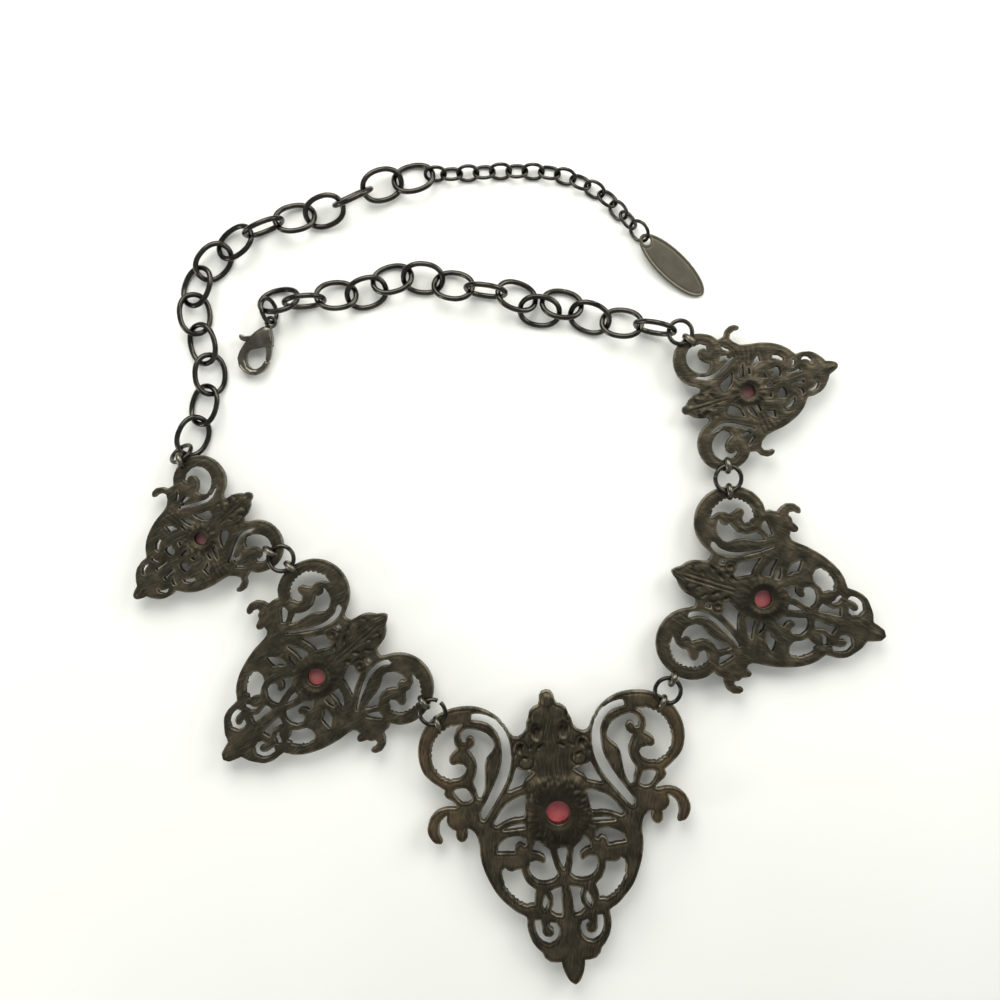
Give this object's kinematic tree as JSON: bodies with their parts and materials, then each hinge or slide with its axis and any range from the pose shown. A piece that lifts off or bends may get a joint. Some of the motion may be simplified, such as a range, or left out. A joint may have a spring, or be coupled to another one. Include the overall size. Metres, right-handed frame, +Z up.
{
  "type": "statement necklace",
  "caption": "Openwork scroll plaques with stones in their bosses, joined by jump rings to a cable chain with a lobster clasp, an extension chain and an oval tag, laid out open face down.",
  "frame": {"origin": "middle of the whole layout's bounding box, on the surface that it lies on", "axes": "+Z up from the surface, the necklace's back upwards; +Y from the centre plaque's tip towards the open chain ends; +X to the right in the picture"},
  "size_m": [0.1816, 0.1996, 0.0093],
  "materials": {
    "cast_metal": "antique gunmetal plating on cast zinc alloy, finely brushed",
    "rose_stone": "polished rose resin cabochon",
    "chain_metal": "dark gunmetal-plated wire",
    "clasp_metal": "dark gunmetal-plated casting, satin",
    "tag_metal": "satin gunmetal-plated sheet"
  },
  "bodies": {
    "necklace": {"plaque_centre": "cast_metal", "plaque_mid_left": "cast_metal", "plaque_mid_right": "cast_metal", "plaque_end_left": "cast_metal", "plaque_end_right": "cast_metal", "stone_centre": "rose_stone", "stone_mid_left": "rose_stone", "stone_mid_right": "rose_stone", "stone_end_left": "rose_stone", "stone_end_right": "rose_stone", "ring_centre_left": "chain_metal", "ring_centre_right": "chain_metal", "ring_mid_left": "chain_metal", "ring_mid_right": "chain_metal", "ring_chain_left": "chain_metal", "ring_chain_right": "chain_metal", "ring_clasp": "chain_metal", "ring_tag": "chain_metal", "link_left_01": "chain_metal", "link_left_02": "chain_metal", "link_left_03": "chain_metal", "link_left_04": "chain_metal", "link_left_05": "chain_metal", "link_left_06": "chain_metal", "link_left_07": "chain_metal", "link_left_08": "chain_metal", "link_left_09": "chain_metal", "link_left_10": "chain_metal", "link_left_11": "chain_metal", "link_left_12": "chain_metal", "link_left_13": "chain_metal", "link_left_14": "chain_metal", "link_right_01": "chain_metal", "link_right_02": "chain_metal", "link_right_03": "chain_metal", "link_right_04": "chain_metal", "link_right_05": "chain_metal", "link_right_06": "chain_metal", "link_right_07": "chain_metal", "link_right_08": "chain_metal", "link_right_09": "chain_metal", "link_right_10": "chain_metal", "link_right_11": "chain_metal", "link_right_12": "chain_metal", "link_right_13": "chain_metal", "link_right_14": "chain_metal", "extension_chain": "chain_metal", "clasp_body": "clasp_metal", "tag": "tag_metal"},
    "lever": {"clasp_lever": "clasp_metal"}
  },
  "joints": [
    {"name": "lever_hinge", "type": "hinge", "parent": "necklace", "child": "lever", "pos_m": [-0.05828, 0.05718, 0.00261], "axis": [0.0466, 0.1126, -0.9925], "range_deg": [0, 25], "stiffness_Nm_per_rad": 0.002, "springref_deg": -28.65}
  ]
}
